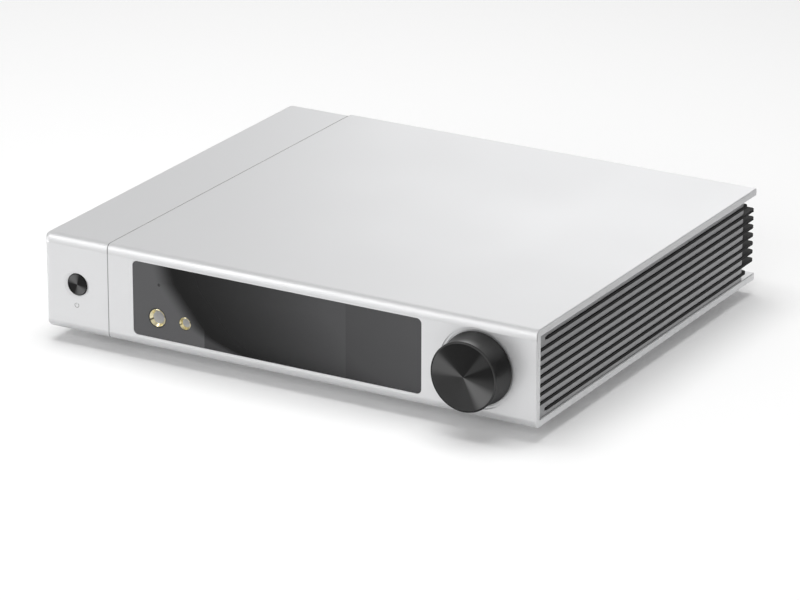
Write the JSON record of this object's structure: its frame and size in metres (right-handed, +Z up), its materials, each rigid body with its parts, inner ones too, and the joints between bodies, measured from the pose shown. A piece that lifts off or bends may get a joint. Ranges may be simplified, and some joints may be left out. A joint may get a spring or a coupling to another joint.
{
  "type": "network music streamer",
  "caption": "Slim aluminium music streamer with a glass display panel, headphone jacks, a power button, a large rotary knob, a finned side and a recessed socket panel.",
  "frame": {"origin": "on the surface that the feet stand on, in the middle of the overall box", "axes": "+Z up, -Y towards the listener (the display and knob side), +X to the listener's right"},
  "size_m": [0.291, 0.2624, 0.06],
  "materials": {
    "silver": "fine bead-blasted, clear anodised",
    "fin_black": "satin black anodised",
    "panel_black": "matt black",
    "knob_grey": "spun dark grey, with a radial sheen",
    "button_grey": "spun satin",
    "display_glass": "polished, printed dark behind",
    "lens_dark": "polished",
    "gold": "polished gold plate",
    "jack_grey": "satin",
    "black_gloss": "satin",
    "black_plastic": "matt",
    "white_plastic": "satin",
    "rubber": "matt",
    "tape": "matt foam",
    "foot_black": "matt",
    "steel": "zinc plated",
    "black_steel": "black oxide",
    "plated_steel": "bright tin plate",
    "brass": "turned",
    "board_green": "solder mask",
    "lcd_dark": "satin",
    "sink_black": "black anodised",
    "can_dark": "printed sleeve",
    "winding": "varnished ferrite and tape",
    "fuse_glass": "clear, with plated caps"
  },
  "bodies": {
    "chassis": {"balanced_outputs": "black_plastic", "balanced_pins": "gold", "balanced_screws": "black_steel", "board_screws": "steel", "board_standoffs": "brass", "button_board": "board_green", "button_switch": "black_plastic", "converter_shield": "plated_steel", "display_glass": "display_glass", "encoder_body": "plated_steel", "encoder_nut": "steel", "ethernet_socket": "plated_steel", "feet": "foot_black", "filter_capacitors": "can_dark", "foot_pads": "rubber", "foot_screws": "steel", "front_screws": "steel", "glass_tape": "tape", "headphone_board": "board_green", "inlet_blades": "plated_steel", "jack_collars": "black_gloss", "jack_ferrules": "gold", "jack_sleeves": "jack_grey", "large_jack": "black_plastic", "lcd_bracket": "steel", "lcd_module": "lcd_dark", "main_board": "board_green", "main_shell": "silver", "mains_inlet": "black_plastic", "optical_socket": "black_plastic", "phono_inserts": "white_plastic", "phono_sockets": "gold", "power_pod": "silver", "processor": "black_plastic", "processor_heat_sink": "sink_black", "psu_board": "board_green", "psu_capacitors": "can_dark", "psu_heat_sink": "sink_black", "psu_transformer": "winding", "rear_panel": "panel_black", "rear_panel_screws": "black_steel", "remote_receiver": "black_plastic", "seam_screws": "steel", "sensor_lens": "lens_dark", "side_fins": "fin_black", "side_wall": "silver", "side_wall_screws": "steel", "small_jack": "black_plastic", "trigger_socket": "black_plastic", "usb_sockets": "plated_steel", "usb_square_socket": "plated_steel"},
    "power_button": {"power_button": "button_grey"},
    "encoder_rotor": {"encoder_rotor": "brass"},
    "volume_knob": {"volume_knob": "knob_grey", "encoder_shaft": "brass", "knob_grub_screw": "steel"},
    "fuse_drawer": {"fuse_drawer": "black_plastic", "mains_fuse": "fuse_glass"},
    "optical_shutter": {"optical_shutter": "black_plastic"}
  },
  "joints": [
    {"name": "power_button_press", "type": "slide", "parent": "chassis", "child": "power_button", "axis": [0, 1, 0], "range_m": [0, 0.0008], "stiffness_N_per_m": 1500, "springref_m": -0.0004},
    {"name": "volume_turn", "type": "hinge", "parent": "chassis", "child": "encoder_rotor", "pos_m": [0.1118, -0.11, 0.034], "axis": [0, 1, 0], "continuous": true},
    {"name": "volume_push", "type": "slide", "parent": "encoder_rotor", "child": "volume_knob", "axis": [0, 1, 0], "range_m": [0, 0.0005], "stiffness_N_per_m": 3000, "springref_m": -0.0004},
    {"name": "fuse_drawer_slide", "type": "slide", "parent": "chassis", "child": "fuse_drawer", "axis": [0, 1, 0], "range_m": [0, 0.012]},
    {"name": "shutter_swing", "type": "hinge", "parent": "chassis", "child": "optical_shutter", "pos_m": [-0.02224, 0.11885, 0.0291], "axis": [1, 0, 0], "range_deg": [-80, 0], "stiffness_Nm_per_rad": 0.0005, "springref_deg": 17.19}
  ]
}
